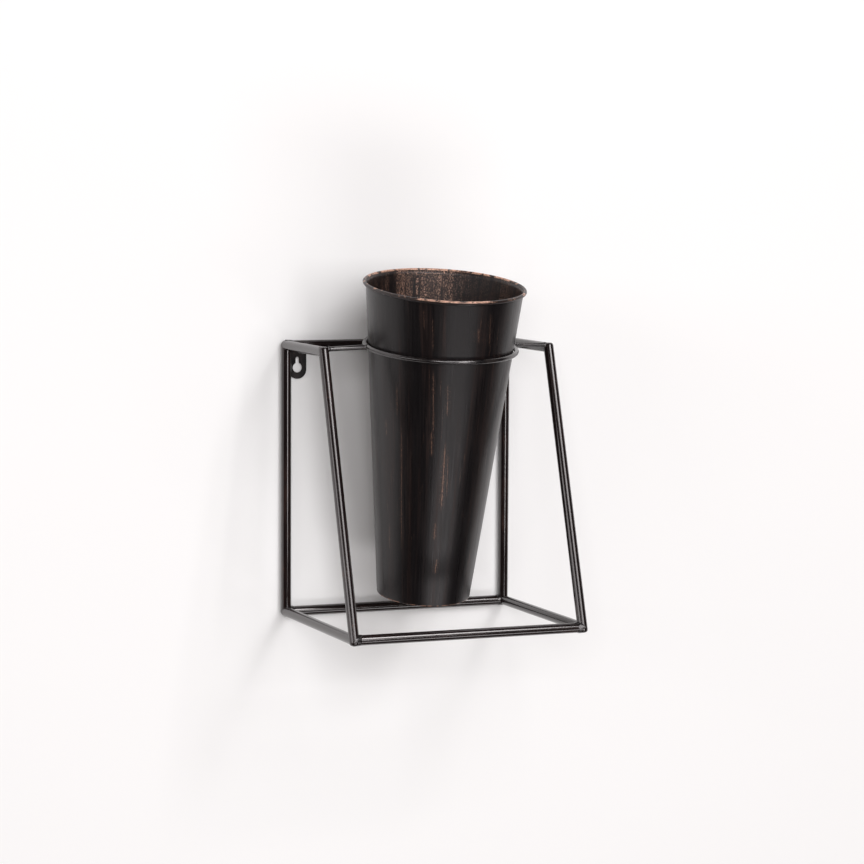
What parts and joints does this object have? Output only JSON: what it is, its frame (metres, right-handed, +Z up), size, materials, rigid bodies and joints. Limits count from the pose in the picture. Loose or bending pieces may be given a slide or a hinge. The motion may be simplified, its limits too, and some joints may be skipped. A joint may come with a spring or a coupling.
{
  "type": "wall planter",
  "caption": "Tall tapered metal pot that leans forward in a wire ring, on a welded frame of round bar with two keyhole tabs for hanging it on a wall.",
  "frame": {"origin": "midway between the centres of the two keyholes' round holes, on the plane of the wall", "axes": "+X to the right as seen from the room, +Y into the wall, +Z up"},
  "size_m": [0.25, 0.2129, 0.3555],
  "materials": {
    "frame_paint": "satin near-black with small worn coppery spots",
    "ring_paint": "satin near-black",
    "tab_paint": "matte near-black",
    "pot_paint": "satin near-black, brushed lengthways and rubbed through to coppery brown",
    "rim_paint": "near-black worn to coppery brown on its top"
  },
  "bodies": {
    "frame": {"left_front_leg": "frame_paint", "right_front_leg": "frame_paint", "left_top_arm": "frame_paint", "right_top_arm": "frame_paint", "left_bottom_arm": "frame_paint", "right_bottom_arm": "frame_paint", "left_rear_upright": "frame_paint", "right_rear_upright": "frame_paint", "rear_top_rail": "frame_paint", "rear_bottom_rail": "frame_paint", "front_bottom_rail": "frame_paint", "frame_weld_beads": "frame_paint", "left_ring_rod": "ring_paint", "right_ring_rod": "ring_paint", "pot_ring": "ring_paint", "ring_weld_beads": "ring_paint", "left_hanger_tab": "tab_paint", "right_hanger_tab": "tab_paint", "hanger_weld_beads": "tab_paint"},
    "pot": {"pot_wall": "pot_paint", "pot_rim_bead": "rim_paint", "pot_floor": "pot_paint"}
  },
  "joints": [
    {"name": "pot_lift", "type": "slide", "parent": "frame", "child": "pot", "axis": [0, -0.1685, 0.9857], "range_m": [0, 0.275]}
  ]
}
